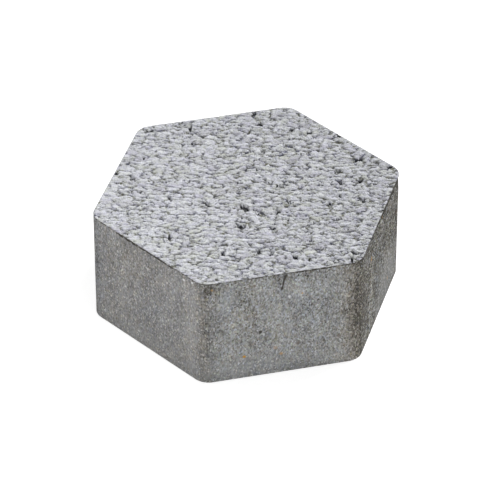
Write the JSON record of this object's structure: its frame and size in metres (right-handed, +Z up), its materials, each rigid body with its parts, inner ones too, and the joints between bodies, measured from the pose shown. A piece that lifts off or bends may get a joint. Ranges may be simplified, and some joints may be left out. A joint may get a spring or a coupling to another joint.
{
  "type": "concrete paving stone",
  "caption": "Hexagonal solid concrete paver with rounded upright corners, smooth moulded sides and a rough washed wearing face, laid edge to edge as outdoor paving.",
  "frame": {"origin": "centre of the bed face, on the surface that the stone lies on", "axes": "+Z up, from the bed face to the wearing face; +X through an upright corner; +Y square to a flat side"},
  "size_m": [0.2042, 0.18, 0.08],
  "materials": {
    "concrete": "light grey washed wearing face of packed stone chips over darker grey, fine-sanded, mould-formed sides"
  },
  "bodies": {
    "root": {"paving_stone": "concrete"}
  },
  "joints": []
}
